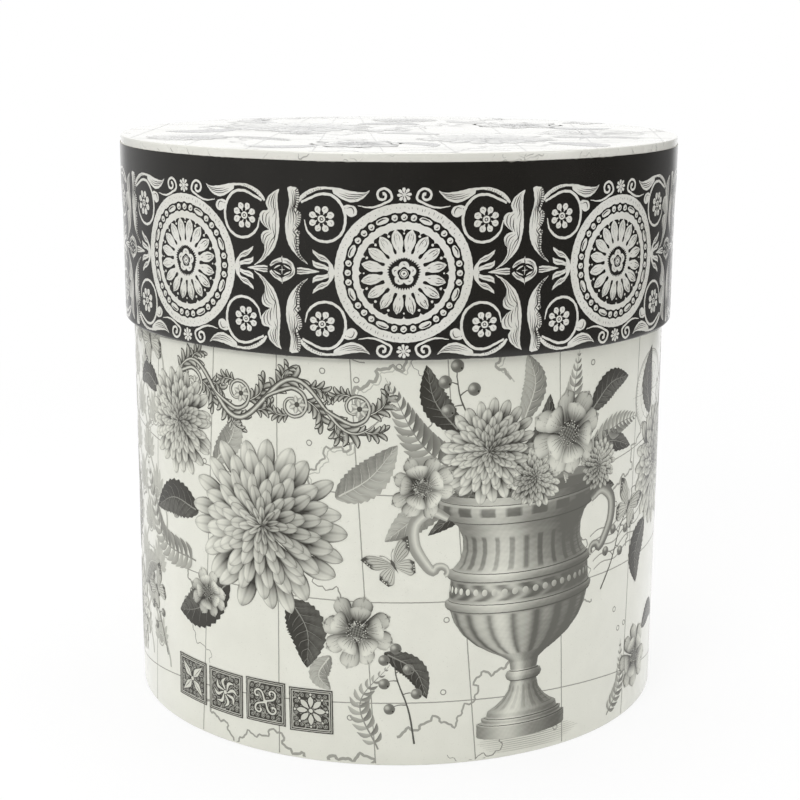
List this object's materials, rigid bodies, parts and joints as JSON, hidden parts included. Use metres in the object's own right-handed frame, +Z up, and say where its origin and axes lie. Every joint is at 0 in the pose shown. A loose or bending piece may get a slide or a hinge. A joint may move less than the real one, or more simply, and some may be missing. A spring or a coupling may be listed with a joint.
{
  "type": "round lidded box",
  "caption": "Round rigid-board gift or flower box, straight-sided, papered inside and out, with a deep lid that lifts off.",
  "frame": {"origin": "centre of the underside, on the surface the box stands on", "axes": "+Z up along the box's axis, -Y to the front; the paper laps are at the back"},
  "size_m": [0.2006, 0.2006, 0.2028],
  "materials": {
    "greyboard": "raw greyboard, hidden under paper",
    "printed_paper": "ivory, laminated, soft sheen, grey print",
    "band_paper": "black, laminated, soft sheen, cream ornament",
    "plain_paper": "matt, uncoated",
    "lining_paper": "white, matt"
  },
  "bodies": {
    "box": {"body_wall": "greyboard", "base_board": "greyboard", "body_wrap": "printed_paper", "base_paper": "plain_paper", "body_lining": "lining_paper", "floor_lining": "lining_paper"},
    "lid": {"lid_board": "greyboard", "lid_rim": "greyboard", "lid_top_paper": "printed_paper", "lid_band": "band_paper", "rim_lining": "lining_paper", "lid_lining": "lining_paper"}
  },
  "joints": [
    {"name": "lid_lift", "type": "slide", "parent": "box", "child": "lid", "axis": [0, 0, 1], "range_m": [0, 0.1]}
  ]
}
